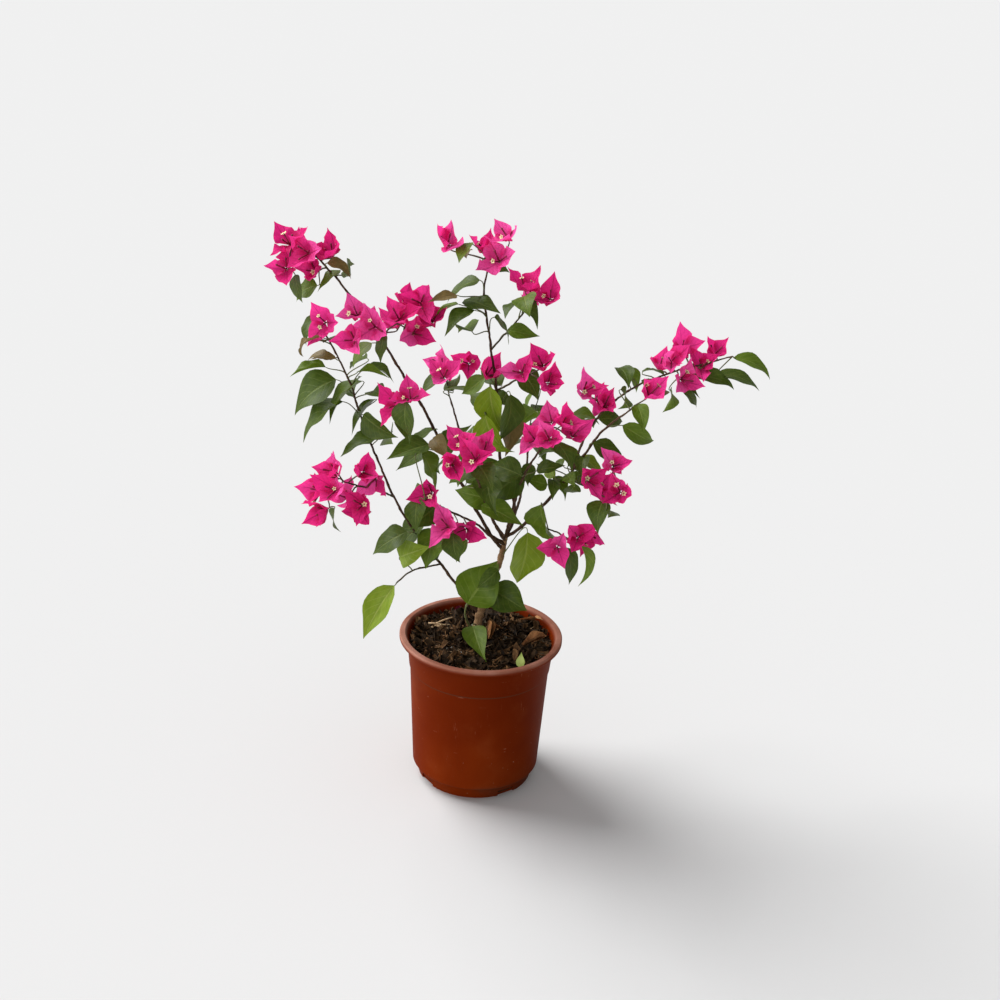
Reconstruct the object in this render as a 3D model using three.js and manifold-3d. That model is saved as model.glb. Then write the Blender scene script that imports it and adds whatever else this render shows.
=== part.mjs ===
// A young bougainvillea bush in a plastic nursery pot. Millimetres, +Z up.
// The origin is the middle of the pot's flat underside, on the surface that the pot stands on.
// +X is to the right of the front view and +Y runs away from it.
import * as THREE from 'three';
import { mergeVertices } from 'three/addons/utils/BufferGeometryUtils.js';
import Module from 'manifold-3d';

const wasm = await Module();
wasm.setup();

// ---------------------------------------------------------------- driving dimensions
const GAP = 0.3;                 // clearance kept between neighbouring solids

const RIM_DIAMETER = 170;
const POT_HEIGHT = 164;
const WALL = 1.8;
const LIP_WIDTH = 6.5;           // flat ring on top of the wall
const LIP_THICKNESS = 5.5;
const COLLAR_HEIGHT = 36;        // the plain band under the rim that stacks inside the next pot
const COLLAR_TOP_RADIUS = 77;
const COLLAR_FOOT_RADIUS = 74;
const COLLAR_STEP = 1;
const BODY_FOOT_RADIUS = 67;
const FOOT_RADIUS = 61;
const FOOT_HEIGHT = 14;
const BASE_THICKNESS = 3;
const EDGE = 0.6;                // small rounding of the moulded edges
const POT_SIDES = 32;

const DRAIN_NOTCHES = 4;
const DRAIN_WIDTH = 20;
const DRAIN_HEIGHT = 6;
const DRAIN_DEPTH = 6;
const DRAIN_FIRST_ANGLE = -55;   // degrees round from +X

const SOIL_TOP = 156;
const SOIL_DROP = 2.5;           // how far the compost sinks towards the wall
const SOIL_FLAT_RADIUS = 40;

const LIMB_SIDES = 6;
const LIMB_STEP = 20;            // length of one straight stretch of a limb
const FEWEST_STEPS = 4;
const ROOT_FLARE = 0.55;         // extra thickness of the trunk where it meets the compost
const FLARE_REACH = 0.09;

const LUMPS = 0.085;             // how far each slow wave pushes a mass in and out
const WAVE_RATES = [3.1, 2.7, 3.7, 4.1];
const WAVE_STARTS = [1.7, 2.9, 4.3, 1];
const LARGE_MASS = 80;           // masses longer than this get finer facets

// Each limb leaves its parent at the fraction "at" of the parent's length. Its heading, in degrees
// round from +X, and its lean from upright change evenly from its foot to its tip. "foot" and "tip"
// are its radii. The masses of blossom and leaves it carries sit at a fraction of its length, moved
// off its centre line by "off", and "size" is how wide, deep and high each one is.
const LIMBS = [
  {
    name: 'trunk', foot: 4.4, tip: 3.2, length: 120, heading: [-25, -25], lean: [5, 20, 15, 5],
    masses: [{ name: 'leaves_low_middle', at: 0.7, off: [-5, -30, 0], size: [70, 50, 75] }],
  },
  {
    name: 'bough_far_left', from: 'trunk', at: 0.15, foot: 1.9, tip: 1, length: 355,
    heading: [180, 155], lean: [35, 40, 25, 20, 45],
    masses: [
      { name: 'leaves_low_left', at: 0.3, off: [-10, -10, 0], size: [65, 40, 35] },
      { name: 'leaves_left_lower', at: 0.65, off: [5, -15, 10], size: [50, 40, 55] },
      { name: 'leaves_left_outer', at: 0.8, off: [-25, -10, -15], size: [55, 40, 45] },
      { name: 'leaves_left_inner', at: 0.8, off: [15, 15, 5], size: [50, 35, 40] },
      { name: 'blossom_far_left_tip', at: 0.95, off: [-10, -10, -5], size: [50, 50, 70] },
    ],
  },
  {
    name: 'bough_high_left', from: 'trunk', at: 0.85, foot: 2.1, tip: 1, length: 380,
    heading: [190, 190], lean: [35, 25, 30, 35, 45],
    masses: [
      { name: 'leaves_middle_left', at: 0.4, off: [-5, -20, -15], size: [55, 45, 50] },
      { name: 'blossom_middle_left', at: 0.55, off: [-5, -40, -15], size: [35, 40, 60] },
      { name: 'blossom_high_left_front', at: 0.75, off: [0, -25, -5], size: [45, 45, 65] },
      { name: 'blossom_high_left', at: 0.7, off: [30, 0, 20], size: [55, 50, 65] },
      { name: 'blossom_left_twig', at: 0.9, off: [5, -5, 10], size: [35, 40, 45] },
      { name: 'blossom_high_left_tip', at: 1, off: [-5, 0, -20], size: [50, 55, 70] },
    ],
  },
  {
    name: 'bough_top', from: 'trunk', at: 1, foot: 2.2, tip: 1, length: 290,
    heading: [175, 185], lean: [-30, 25, 0, 10, 15, -10],
    masses: [
      { name: 'leaves_centre_front', at: 0.45, off: [0, -30, 5], size: [45, 40, 45] },
      { name: 'leaves_centre', at: 0.55, off: [-15, 5, 5], size: [45, 50, 55] },
      { name: 'leaves_top_right', at: 0.8, off: [25, 10, 5], size: [35, 35, 65] },
      { name: 'leaves_top_left', at: 0.9, off: [-25, -15, -10], size: [65, 40, 65] },
      { name: 'blossom_top_left', at: 1, off: [-30, -20, 20], size: [35, 40, 25] },
      { name: 'blossom_top', at: 1, off: [5, -5, 15], size: [35, 45, 55] },
    ],
  },
  {
    name: 'bough_right', from: 'trunk', at: 0.95, foot: 2.1, tip: 1.1, length: 215,
    heading: [-20, -40], lean: [40, 35, 30, 50],
    masses: [
      { name: 'leaves_low_right', at: 0.15, off: [10, -25, -15], size: [40, 30, 75] },
      { name: 'leaves_middle_right', at: 0.55, off: [-10, -5, 0], size: [85, 60, 60] },
      { name: 'leaves_right', at: 0.85, off: [20, -5, -15], size: [50, 35, 55] },
      { name: 'blossom_right_tip', at: 1, off: [10, 0, 10], size: [35, 35, 35] },
    ],
  },
  {
    name: 'bough_far_right', from: 'bough_right', at: 0.55, foot: 1.5, tip: 0.9, length: 205,
    heading: [40, 0], lean: [15, 40, 65, 75, 70],
    masses: [
      { name: 'blossom_right_upper', at: 0.3, off: [-5, 10, 5], size: [55, 50, 55] },
      { name: 'leaves_right_upper', at: 0.55, off: [-5, -5, 10], size: [45, 35, 30] },
      { name: 'blossom_far_right', at: 0.75, off: [0, 0, -5], size: [70, 50, 85] },
      { name: 'blossom_far_right_tip', at: 1, off: [5, 5, -10], size: [65, 35, 40] },
    ],
  },
  {
    name: 'bough_front_right', from: 'trunk', at: 1, foot: 1.7, tip: 1, length: 180,
    heading: [-80, -60], lean: [35, 30, 35, 40],
    masses: [{ name: 'blossom_front_right', at: 1, off: [5, 0, 0], size: [60, 60, 50] }],
  },
  {
    name: 'bough_front_left', from: 'trunk', at: 0.95, foot: 1.7, tip: 1, length: 170,
    heading: [-115, -105], lean: [40, 40, 40],
    masses: [
      { name: 'leaves_front', at: 0.65, off: [10, 10, 0], size: [45, 50, 60] },
      { name: 'blossom_front_left', at: 1, off: [0, 0, 0], size: [50, 55, 50] },
    ],
  },
  {
    name: 'bough_low_left', from: 'trunk', at: 0.9, foot: 1.5, tip: 1, length: 110,
    heading: [205, 205], lean: [45, 50, 60, 60],
    masses: [
      { name: 'blossom_low_front', at: 0.65, off: [0, -25, -15], size: [35, 45, 55] },
      { name: 'blossom_low_left', at: 1, off: [-5, 5, -5], size: [45, 50, 55] },
    ],
  },
  {
    name: 'bough_back_right', from: 'trunk', at: 1, foot: 1.8, tip: 1, length: 145,
    heading: [70, 90], lean: [65, 55, 55, 55],
    masses: [{ name: 'leaves_back_right', at: 1, off: [0, -5, 5], size: [55, 70, 80] }],
  },
  {
    name: 'bough_back_left', from: 'trunk', at: 0.95, foot: 1.8, tip: 1, length: 170,
    heading: [130, 120], lean: [45, 45, 40, 40],
    masses: [
      { name: 'leaves_back_left', at: 0.6, off: [5, 15, -5], size: [40, 60, 55] },
      { name: 'blossom_back_left', at: 1, off: [0, -5, 20], size: [55, 60, 35] },
    ],
  },
  {
    name: 'branch_left_blossom', from: 'bough_far_left', at: 0.45, foot: 1.2, tip: 0.9, length: 75,
    heading: [235, 215], lean: [60, 65, 65],
    masses: [{ name: 'blossom_left', at: 0.95, off: [-5, -5, -10], size: [95, 70, 95] }],
  },
  {
    name: 'branch_hanging_leaf', from: 'bough_far_left', at: 0.2, foot: 1.2, tip: 0.9, length: 55,
    heading: [210, 220], lean: [85, 85, 105, 125],
    masses: [{ name: 'leaves_hanging', at: 1, off: [-15, 0, -35], size: [40, 25, 75] }],
  },
  {
    name: 'branch_top_back', from: 'bough_top', at: 0.7, foot: 1.2, tip: 0.9, length: 70,
    heading: [65, 30], lean: [60, 55, 55],
    masses: [{ name: 'blossom_top_back', at: 1, off: [0, 0, 5], size: [45, 45, 50] }],
  },
  {
    name: 'branch_top_front', from: 'bough_top', at: 0.55, foot: 1.2, tip: 0.9, length: 65,
    heading: [-55, -65], lean: [45, 70],
    masses: [{ name: 'blossom_top_front', at: 1, off: [5, -10, 5], size: [50, 50, 45] }],
  },
  {
    name: 'branch_right_blossom', from: 'bough_right', at: 0.5, foot: 1.2, tip: 0.9, length: 65,
    heading: [-60, -50], lean: [90, 85, 95],
    masses: [{ name: 'blossom_right_front', at: 0.95, off: [0, 0, 5], size: [55, 55, 75] }],
  },
  {
    name: 'branch_low_right', from: 'bough_right', at: 0.15, foot: 1.2, tip: 0.9, length: 70,
    heading: [-40, -40], lean: [80, 90, 100],
    masses: [{ name: 'blossom_low_right', at: 1, off: [0, 0, -5], size: [60, 50, 75] }],
  },
];

const COLOURS = {
  pot: { color: 0x7a3318, roughness: 0.55, metalness: 0 },
  soil: { color: 0x2a2019, roughness: 0.95, metalness: 0 },
  bark: { color: 0x4a3a2c, roughness: 0.85, metalness: 0 },
  leaves: { color: 0x2f4d22, roughness: 0.5, metalness: 0 },
  blossom: { color: 0xc81e6e, roughness: 0.6, metalness: 0 },
};

// ---------------------------------------------------------------- solids and meshes
const SAME_PLACE = 1e-4;         // vertices closer than this are one vertex
const plant = new THREE.Group();

function solidOf(geometry) {
  const bare = geometry.index ? geometry.toNonIndexed() : geometry.clone();
  bare.deleteAttribute('normal');
  bare.deleteAttribute('uv');
  const merged = mergeVertices(bare, SAME_PLACE);
  return new wasm.Manifold(new wasm.Mesh({
    numProp: 3,
    vertProperties: new Float32Array(merged.attributes.position.array),
    triVerts: new Uint32Array(merged.index.array),
  }));
}

function largestPiece(solid) {
  const pieces = solid.decompose();
  return pieces.reduce((best, piece) => (piece.volume() > best.volume() ? piece : best));
}

function addMesh(name, solid, finish) {
  const { vertProperties, triVerts } = solid.getMesh();
  const geometry = new THREE.BufferGeometry();
  geometry.setAttribute('position', new THREE.BufferAttribute(vertProperties, 3));
  geometry.setIndex(new THREE.BufferAttribute(triVerts, 1));
  geometry.computeVertexNormals();
  const mesh = new THREE.Mesh(geometry, new THREE.MeshStandardMaterial(COLOURS[finish]));
  mesh.name = name;
  plant.add(mesh);
}

function turned(profile) {
  const points = profile.map(([radius, height]) => new THREE.Vector2(radius, height));
  return solidOf(new THREE.LatheGeometry(points, POT_SIDES).rotateX(Math.PI / 2));
}

// ---------------------------------------------------------------- pot and compost
const rimRadius = RIM_DIAMETER / 2;
const lipInner = rimRadius - LIP_WIDTH;
const lipUnder = POT_HEIGHT - LIP_THICKNESS;
const collarFoot = POT_HEIGHT - COLLAR_HEIGHT;
const bodyTopRadius = COLLAR_FOOT_RADIUS - COLLAR_STEP;
const shoulderTop = FOOT_HEIGHT + WALL;

function makePot() {
  const inside = [
    [0, BASE_THICKNESS],
    [FOOT_RADIUS - WALL, BASE_THICKNESS],
    [FOOT_RADIUS - WALL, shoulderTop],
    [BODY_FOOT_RADIUS - WALL, shoulderTop],
    [bodyTopRadius - WALL, collarFoot],
    [COLLAR_TOP_RADIUS - WALL, lipUnder],
    [lipInner, POT_HEIGHT - EDGE],
  ];
  const outside = [
    [lipInner + EDGE, POT_HEIGHT],
    [rimRadius - EDGE, POT_HEIGHT],
    [rimRadius, POT_HEIGHT - EDGE],
    [rimRadius, lipUnder + EDGE],
    [rimRadius - EDGE, lipUnder],
    [COLLAR_TOP_RADIUS, lipUnder],
    [COLLAR_FOOT_RADIUS, collarFoot + EDGE],
    [bodyTopRadius, collarFoot],
    [BODY_FOOT_RADIUS, FOOT_HEIGHT + EDGE],
    [BODY_FOOT_RADIUS - EDGE, FOOT_HEIGHT],
    [FOOT_RADIUS, FOOT_HEIGHT],
    [FOOT_RADIUS - EDGE, 0],
    [0, 0],
  ];
  let pot = turned([...inside, ...outside].reverse());
  for (let i = 0; i < DRAIN_NOTCHES; i += 1) {
    const bar = new THREE.BoxGeometry(DRAIN_DEPTH, DRAIN_WIDTH, 2 * DRAIN_HEIGHT);
    bar.translate(FOOT_RADIUS, 0, 0);
    bar.rotateZ(THREE.MathUtils.degToRad(DRAIN_FIRST_ANGLE + (360 / DRAIN_NOTCHES) * i));
    pot = pot.subtract(solidOf(bar));
  }
  return pot;
}

function makeSoil() {
  const lowRadius = FOOT_RADIUS - WALL - GAP;
  const shoulderRadius = BODY_FOOT_RADIUS - WALL - GAP;
  const edgeHeight = SOIL_TOP - SOIL_DROP;
  const edgeRadius = THREE.MathUtils.mapLinear(
    edgeHeight, collarFoot, lipUnder, bodyTopRadius - WALL, COLLAR_TOP_RADIUS - WALL) - GAP;
  return turned([
    [0, BASE_THICKNESS + GAP],
    [lowRadius, BASE_THICKNESS + GAP],
    [lowRadius, shoulderTop + GAP],
    [shoulderRadius, shoulderTop + GAP],
    [bodyTopRadius - WALL - GAP, collarFoot],
    [edgeRadius, edgeHeight],
    [SOIL_FLAT_RADIUS, SOIL_TOP],
    [0, SOIL_TOP],
  ]);
}

// ---------------------------------------------------------------- limbs
function staged(values, fraction) {
  const place = fraction * (values.length - 1);
  const stage = Math.min(Math.floor(place), values.length - 2);
  return THREE.MathUtils.lerp(values[stage], values[stage + 1], place - stage);
}

function centreLine(limb, start) {
  const steps = Math.max(FEWEST_STEPS, Math.round(limb.length / LIMB_STEP));
  const line = [start.clone()];
  for (let i = 0; i < steps; i += 1) {
    const heading = THREE.MathUtils.degToRad(staged(limb.heading, (i + 0.5) / steps));
    const lean = THREE.MathUtils.degToRad(staged(limb.lean, (i + 0.5) / steps));
    const stride = new THREE.Vector3(
      Math.sin(lean) * Math.cos(heading), Math.sin(lean) * Math.sin(heading), Math.cos(lean));
    line.push(line[i].clone().addScaledVector(stride, limb.length / steps));
  }
  return line;
}

function pointOn(line, fraction) {
  const place = fraction * (line.length - 1);
  const step = Math.min(Math.floor(place), line.length - 2);
  return line[step].clone().lerp(line[step + 1], place - step);
}

function radiusAt(limb, fraction) {
  const flare = limb.from ? 0 : ROOT_FLARE * Math.exp(-fraction / FLARE_REACH);
  return THREE.MathUtils.lerp(limb.foot, limb.tip, fraction) * (1 + flare);
}

// A tapering round bar, bent to follow the limb's centre line.
function limbSolid(limb, line, extra) {
  const steps = line.length - 1;
  const bar = new THREE.CylinderGeometry(1, 1, steps, LIMB_SIDES, steps).toNonIndexed();
  const frames = new THREE.CatmullRomCurve3(line).computeFrenetFrames(steps, false);
  const place = bar.attributes.position;
  for (let i = 0; i < place.count; i += 1) {
    const step = Math.round(place.getY(i) + steps / 2);
    const radius = radiusAt(limb, step / steps) + extra;
    const point = line[step].clone()
      .addScaledVector(frames.normals[step], place.getX(i) * radius)
      .addScaledVector(frames.binormals[step], -place.getZ(i) * radius);
    if (step === 0) point.addScaledVector(frames.tangents[0], -extra);
    if (step === steps) point.addScaledVector(frames.tangents[steps], extra);
    place.setXYZ(i, point.x, point.y, point.z);
  }
  return solidOf(bar);
}

// ---------------------------------------------------------------- masses of blossom and leaves
// A ball of facets pushed in and out by slow waves, then brought to its exact width, depth, height.
function unevenMass(centre, size, seed, extra) {
  const detail = Math.max(...size) > LARGE_MASS ? 2 : 1;
  const ball = new THREE.IcosahedronGeometry(1, detail);
  const place = ball.attributes.position;
  const spot = new THREE.Vector3();
  for (let i = 0; i < place.count; i += 1) {
    spot.fromBufferAttribute(place, i);
    const along = [spot.x, spot.y, spot.z, spot.x - spot.y + spot.z];
    const waves = along.map((way, k) => Math.sin(WAVE_RATES[k] * way + WAVE_STARTS[k] * seed));
    spot.multiplyScalar(1 + LUMPS * waves.reduce((sum, wave) => sum + wave));
    place.setXYZ(i, spot.x, spot.y, spot.z);
  }
  ball.computeBoundingBox();
  const box = ball.boundingBox;
  const span = box.getSize(new THREE.Vector3());
  const middle = box.getCenter(new THREE.Vector3());
  ball.translate(-middle.x, -middle.y, -middle.z);
  ball.scale((size[0] + extra) / span.x, (size[1] + extra) / span.y, (size[2] + extra) / span.z);
  ball.translate(centre.x, centre.y, centre.z);
  return solidOf(ball);
}

// ---------------------------------------------------------------- assembly
addMesh('pot', makePot(), 'pot');
addMesh('soil', makeSoil(), 'soil');

const TRUNK_FOOT = new THREE.Vector3(-5, 18, SOIL_TOP);
const lines = {};
const grownLimbs = [];
for (const limb of LIMBS) {
  const start = limb.from ? pointOn(lines[limb.from], limb.at) : TRUNK_FOOT;
  lines[limb.name] = centreLine(limb, start);
  let solid = limbSolid(limb, lines[limb.name], 0);
  if (!limb.from) {
    const ground = new THREE.BoxGeometry(RIM_DIAMETER, RIM_DIAMETER, SOIL_TOP);
    ground.translate(0, 0, SOIL_TOP / 2 + GAP);
    solid = solid.subtract(solidOf(ground));
  }
  for (const grown of grownLimbs) solid = solid.subtract(grown);
  addMesh(limb.name, largestPiece(solid), 'bark');
  grownLimbs.push(limbSolid(limb, lines[limb.name], GAP));
}

const grownMasses = [];
for (const limb of LIMBS) {
  for (const mass of limb.masses) {
    const seed = grownMasses.length + 1;
    const centre = pointOn(lines[limb.name], mass.at).add(new THREE.Vector3(...mass.off));
    let solid = unevenMass(centre, mass.size, seed, 0);
    for (const grown of [...grownLimbs, ...grownMasses]) solid = solid.subtract(grown);
    addMesh(mass.name, largestPiece(solid), mass.name.split('_')[0]);
    grownMasses.push(unevenMass(centre, mass.size, seed, 2 * GAP));
  }
}

export default plant;
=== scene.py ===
"""A young bougainvillea bush in a plastic nursery pot, in metres, on the frame of its solid model."""

from math import atan2, cos, hypot, pi, radians, sin, sqrt, tan

import bpy
import numpy as np
from mathutils import Matrix, Vector
from mathutils.kdtree import KDTree
from numpy.linalg import norm


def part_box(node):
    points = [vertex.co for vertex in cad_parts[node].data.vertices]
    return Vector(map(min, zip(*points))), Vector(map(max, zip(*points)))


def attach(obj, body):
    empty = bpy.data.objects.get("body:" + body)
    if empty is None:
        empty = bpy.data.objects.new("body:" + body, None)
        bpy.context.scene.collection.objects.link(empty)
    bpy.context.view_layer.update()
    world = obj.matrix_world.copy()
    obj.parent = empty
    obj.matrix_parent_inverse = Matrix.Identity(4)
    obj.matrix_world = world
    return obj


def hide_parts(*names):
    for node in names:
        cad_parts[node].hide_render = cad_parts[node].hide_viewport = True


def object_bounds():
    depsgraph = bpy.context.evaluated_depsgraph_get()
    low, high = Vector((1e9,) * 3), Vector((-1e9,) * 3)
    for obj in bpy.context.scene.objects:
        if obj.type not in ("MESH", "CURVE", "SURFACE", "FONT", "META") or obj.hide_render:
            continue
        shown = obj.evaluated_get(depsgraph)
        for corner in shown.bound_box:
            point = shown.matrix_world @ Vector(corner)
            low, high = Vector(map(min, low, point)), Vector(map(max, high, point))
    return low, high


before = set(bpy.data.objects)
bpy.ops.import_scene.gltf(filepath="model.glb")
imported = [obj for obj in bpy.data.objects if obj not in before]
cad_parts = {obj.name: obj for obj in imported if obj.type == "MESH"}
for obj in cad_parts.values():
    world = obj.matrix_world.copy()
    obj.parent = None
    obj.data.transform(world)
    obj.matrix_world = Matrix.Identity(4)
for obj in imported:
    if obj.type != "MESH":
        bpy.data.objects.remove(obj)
cad_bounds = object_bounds()


# The pot is a round nursery pot moulded in one shot from thin red-brown plastic. It has a flat
# rolled lip, a stepped collar under it that stacks in the next pot, a body that tapers down, and
# a recessed foot with drain notches. Handling has scuffed it and dust has dulled the lip, whose upper
# edge also carries a painted highlight; painted shade lines lie under the collar and foot steps.
MM = 0.001


def tune(thing, **settings):
    for name, value in settings.items():
        setattr(thing, name, value)


class Wire:
    """A socket of a material's nodes, on which sums can be written."""

    def __init__(self, tree, socket=None):
        self.tree = tree
        self.socket = socket

    def node(self, kind, settings=None, inputs=None, output=0):
        made = self.tree.nodes.new("ShaderNode" + kind)
        tune(made, **(settings or {}))
        for key, value in (inputs or {}).items():
            socket = made.inputs[key]
            if isinstance(value, Wire):
                self.tree.links.new(value.socket, socket)
            else:
                socket.default_value = (*value, 1) if socket.type == "RGBA" else value
        return Wire(self.tree, made.outputs[output])

    def sum_of(self, operation, first, second):
        return self.node("Math", {"operation": operation}, {0: first, 1: second})

    def __add__(self, other):
        return self.sum_of("ADD", self, other)

    __radd__ = __add__

    def __sub__(self, other):
        return self.sum_of("SUBTRACT", self, other)

    def __rsub__(self, other):
        return self.sum_of("SUBTRACT", other, self)

    def __mul__(self, other):
        return self.sum_of("MULTIPLY", self, other)

    __rmul__ = __mul__

    def part(self, axis):
        """The x, y or z of a place, for axis 0, 1 or 2."""
        return self.node("SeparateXYZ", None, {0: self}, axis)

    def ramp(self, start, end):
        """0 below start and 1 above end, with a soft climb between."""
        return self.node("MapRange", {"interpolation_type": "SMOOTHSTEP"},
                         {"Value": self, "From Min": start, "From Max": end})

    def blend(self, first, second):
        """The first colour where this is 0 and the second where it is 1."""
        return self.node("Mix", {"data_type": "RGBA"}, {0: self, 6: first, 7: second}, 2)

    def noise(self, where, scale, detail=4.0, roughness=0.55):
        return self.node("TexNoise", None, {
            "Vector": where, "Scale": scale, "Detail": detail, "Roughness": roughness})

    def bump(self, strength, distance):
        return self.node("Bump", None, {
            "Height": self, "Strength": strength, "Distance": distance})


def new_finish(name, roughness, shine=0.5):
    """A material, the start of its wires and its surface node."""
    material = bpy.data.materials.new(name)
    material.use_nodes = True
    surface = material.node_tree.nodes["Principled BSDF"]
    surface.inputs["Roughness"].default_value = roughness
    surface.inputs["Specular IOR Level"].default_value = shine
    return material, Wire(material.node_tree), surface


def plug(wire, node, socket):
    wire.tree.links.new(wire.socket, node.inputs[socket])


def dress(surface, colour, relief):
    plug(colour, surface, "Base Color")
    plug(relief, surface, "Normal")


def object_place(start, stretch=(1, 1, 1)):
    """Places on the piece in metres, stretched along each axis."""
    where = start.node("TexCoord", output=3)
    return start.node("Mapping", None, {"Vector": where, "Scale": stretch})


def change_to(mode):
    bpy.ops.object.mode_set(mode=mode)


def edit_whole():
    """The active piece's mesh is open for editing, with all of it selected."""
    change_to("EDIT")
    bpy.ops.mesh.select_all(action="SELECT")


def face_outward():
    """All faces of the open mesh look out, and it is closed."""
    bpy.ops.mesh.select_all(action="SELECT")
    bpy.ops.mesh.normals_make_consistent(inside=False)
    change_to("OBJECT")


def turned_shell(name, foot_radius, profile, sides, floor=0.0):
    """A flat round cap, extruded and resized from ring to ring along a profile of (radius, height)."""
    bpy.ops.mesh.primitive_circle_add(
        vertices=sides, radius=foot_radius, fill_type="NGON", location=(0, 0, floor))
    shell = bpy.context.object
    shell.name = shell.data.name = name
    bpy.ops.object.transform_apply()
    edit_whole()
    radius, height = foot_radius, floor
    for next_radius, next_height in profile:
        bpy.ops.mesh.extrude_region_move(
            TRANSFORM_OT_translate={"value": (0, 0, next_height - height)})
        ratio = next_radius / radius
        bpy.ops.transform.resize(value=(ratio, ratio, 1), center_override=(0, 0, next_height))
        radius, height = next_radius, next_height
    face_outward()
    return shell


def pick(piece):
    bpy.ops.object.select_all(action="DESELECT")
    piece.select_set(True)
    bpy.context.view_layer.objects.active = piece


def finish_shape(piece, degrees):
    """The modifiers are made part of the mesh, and edges blunter than the angle are shaded round."""
    pick(piece)
    for modifier in list(piece.modifiers):
        bpy.ops.object.modifier_apply(modifier=modifier.name)
    bpy.ops.object.shade_smooth_by_angle(angle=radians(degrees))


POT_HEIGHT = 164 * MM
RIM_RADIUS = 85 * MM
LIP_INNER = 78.5 * MM
LIP_UNDER = 158.5 * MM
COLLAR_FOOT = 128 * MM
WALL = 1.8 * MM
FOOT_HEIGHT = 14 * MM
FOOT_RADIUS = 61 * MM
BODY_FOOT_RADIUS = 67 * MM
BODY_TOP_RADIUS = 73 * MM
COLLAR_TOP_RADIUS = 77 * MM
DRAIN_FIRST_ANGLE = -55
DRAIN_COUNT = 4
DRAIN_HEIGHT = 6 * MM
DRAIN_WIDTH = 20 * MM
DRAIN_DEPTH = 6 * MM

pot = turned_shell("pot_shell", FOOT_RADIUS - 0.6 * MM, [
    (FOOT_RADIUS, FOOT_HEIGHT),
    (BODY_FOOT_RADIUS - 0.6 * MM, FOOT_HEIGHT),
    (BODY_FOOT_RADIUS, FOOT_HEIGHT + 0.8 * MM),
    ((BODY_FOOT_RADIUS + BODY_TOP_RADIUS) / 2, (FOOT_HEIGHT + COLLAR_FOOT) / 2),
    (BODY_TOP_RADIUS, COLLAR_FOOT),
    (BODY_TOP_RADIUS + 1 * MM, COLLAR_FOOT + 0.6 * MM),
    (COLLAR_TOP_RADIUS, LIP_UNDER),
    (RIM_RADIUS - 0.8 * MM, LIP_UNDER),
    (RIM_RADIUS, LIP_UNDER + 1.2 * MM),
    (RIM_RADIUS, POT_HEIGHT - 1.2 * MM),
    (RIM_RADIUS - 1.2 * MM, POT_HEIGHT),
    (LIP_INNER + 0.8 * MM, POT_HEIGHT),
    (LIP_INNER, POT_HEIGHT - 0.8 * MM),
    (COLLAR_TOP_RADIUS - WALL, LIP_UNDER),
    (BODY_TOP_RADIUS - WALL, COLLAR_FOOT),
    (BODY_FOOT_RADIUS - WALL, FOOT_HEIGHT + WALL),
    (FOOT_RADIUS - WALL, FOOT_HEIGHT + WALL),
    (FOOT_RADIUS - WALL, 3 * MM),
], 128)
for corner in range(DRAIN_COUNT):
    angle = radians(DRAIN_FIRST_ANGLE + 360 / DRAIN_COUNT * corner)
    bpy.ops.mesh.primitive_cube_add(
        size=1, location=(FOOT_RADIUS * cos(angle), FOOT_RADIUS * sin(angle), 0),
        rotation=(0, 0, angle), scale=(DRAIN_DEPTH, DRAIN_WIDTH, 2 * DRAIN_HEIGHT))
    notch = bpy.context.object
    tune(pot.modifiers.new("notch", "BOOLEAN"), operation="DIFFERENCE", object=notch)
    pick(pot)
    bpy.ops.object.modifier_apply(modifier="notch")
    bpy.data.objects.remove(notch)
tune(pot.modifiers.new("moulded edges", "BEVEL"),
     width=0.4 * MM, segments=2, limit_method="ANGLE", angle_limit=radians(40))
finish_shape(pot, 32)

pot_finish, start, surface = new_finish("red_brown_pot_plastic", 0.5, 0.015)
where = object_place(start)
height = where.part(2)
blotches = start.noise(where, 22, 5)
cloudy = start.noise(where, 7, 3)
marks = start.noise(object_place(start, (1, 1, 0.12)), 260, 6, 0.7)
scratches = start.noise(object_place(start, (0.25, 1, 2.6)), 150, 3, 0.6)
specks = start.noise(where, 520, 2)
plastic = cloudy.ramp(0.35, 0.7).blend((0.112, 0.0108, 0.0005), (0.160, 0.0195, 0.0014))
plastic = (blotches.ramp(0.5, 0.75) * 0.35).blend(plastic, (0.19, 0.036, 0.009))
scuffs = marks.ramp(0.62, 0.72) * blotches.ramp(0.42, 0.62) * 0.5
plastic = scuffs.blend(plastic, (0.42, 0.16, 0.09))
plastic = (scratches.ramp(0.70, 0.78) * 0.4).blend(plastic, (0.45, 0.20, 0.13))
plastic = (specks.ramp(0.74, 0.79) * cloudy.ramp(0.45, 0.6) * 0.8).blend(plastic, (0.6, 0.5, 0.42))
# The lip is painted lighter towards its top edge: partly dust, partly a painted highlight on the upper
# edge, with its lower outer face left darker.
lip_dust_and_highlight = height.ramp(LIP_UNDER + 1 * MM, POT_HEIGHT - 1.5 * MM)
dust_and_highlight_tone = blotches.ramp(0.3, 0.7).blend((0.24, 0.095, 0.062), (0.36, 0.175, 0.13))
top_dust_and_highlight = height.ramp(POT_HEIGHT - 2.5 * MM, POT_HEIGHT - 0.5 * MM)
plastic = (lip_dust_and_highlight * (0.25 + blotches * 0.4) + top_dust_and_highlight * 0.45).blend(plastic, dust_and_highlight_tone)
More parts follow.
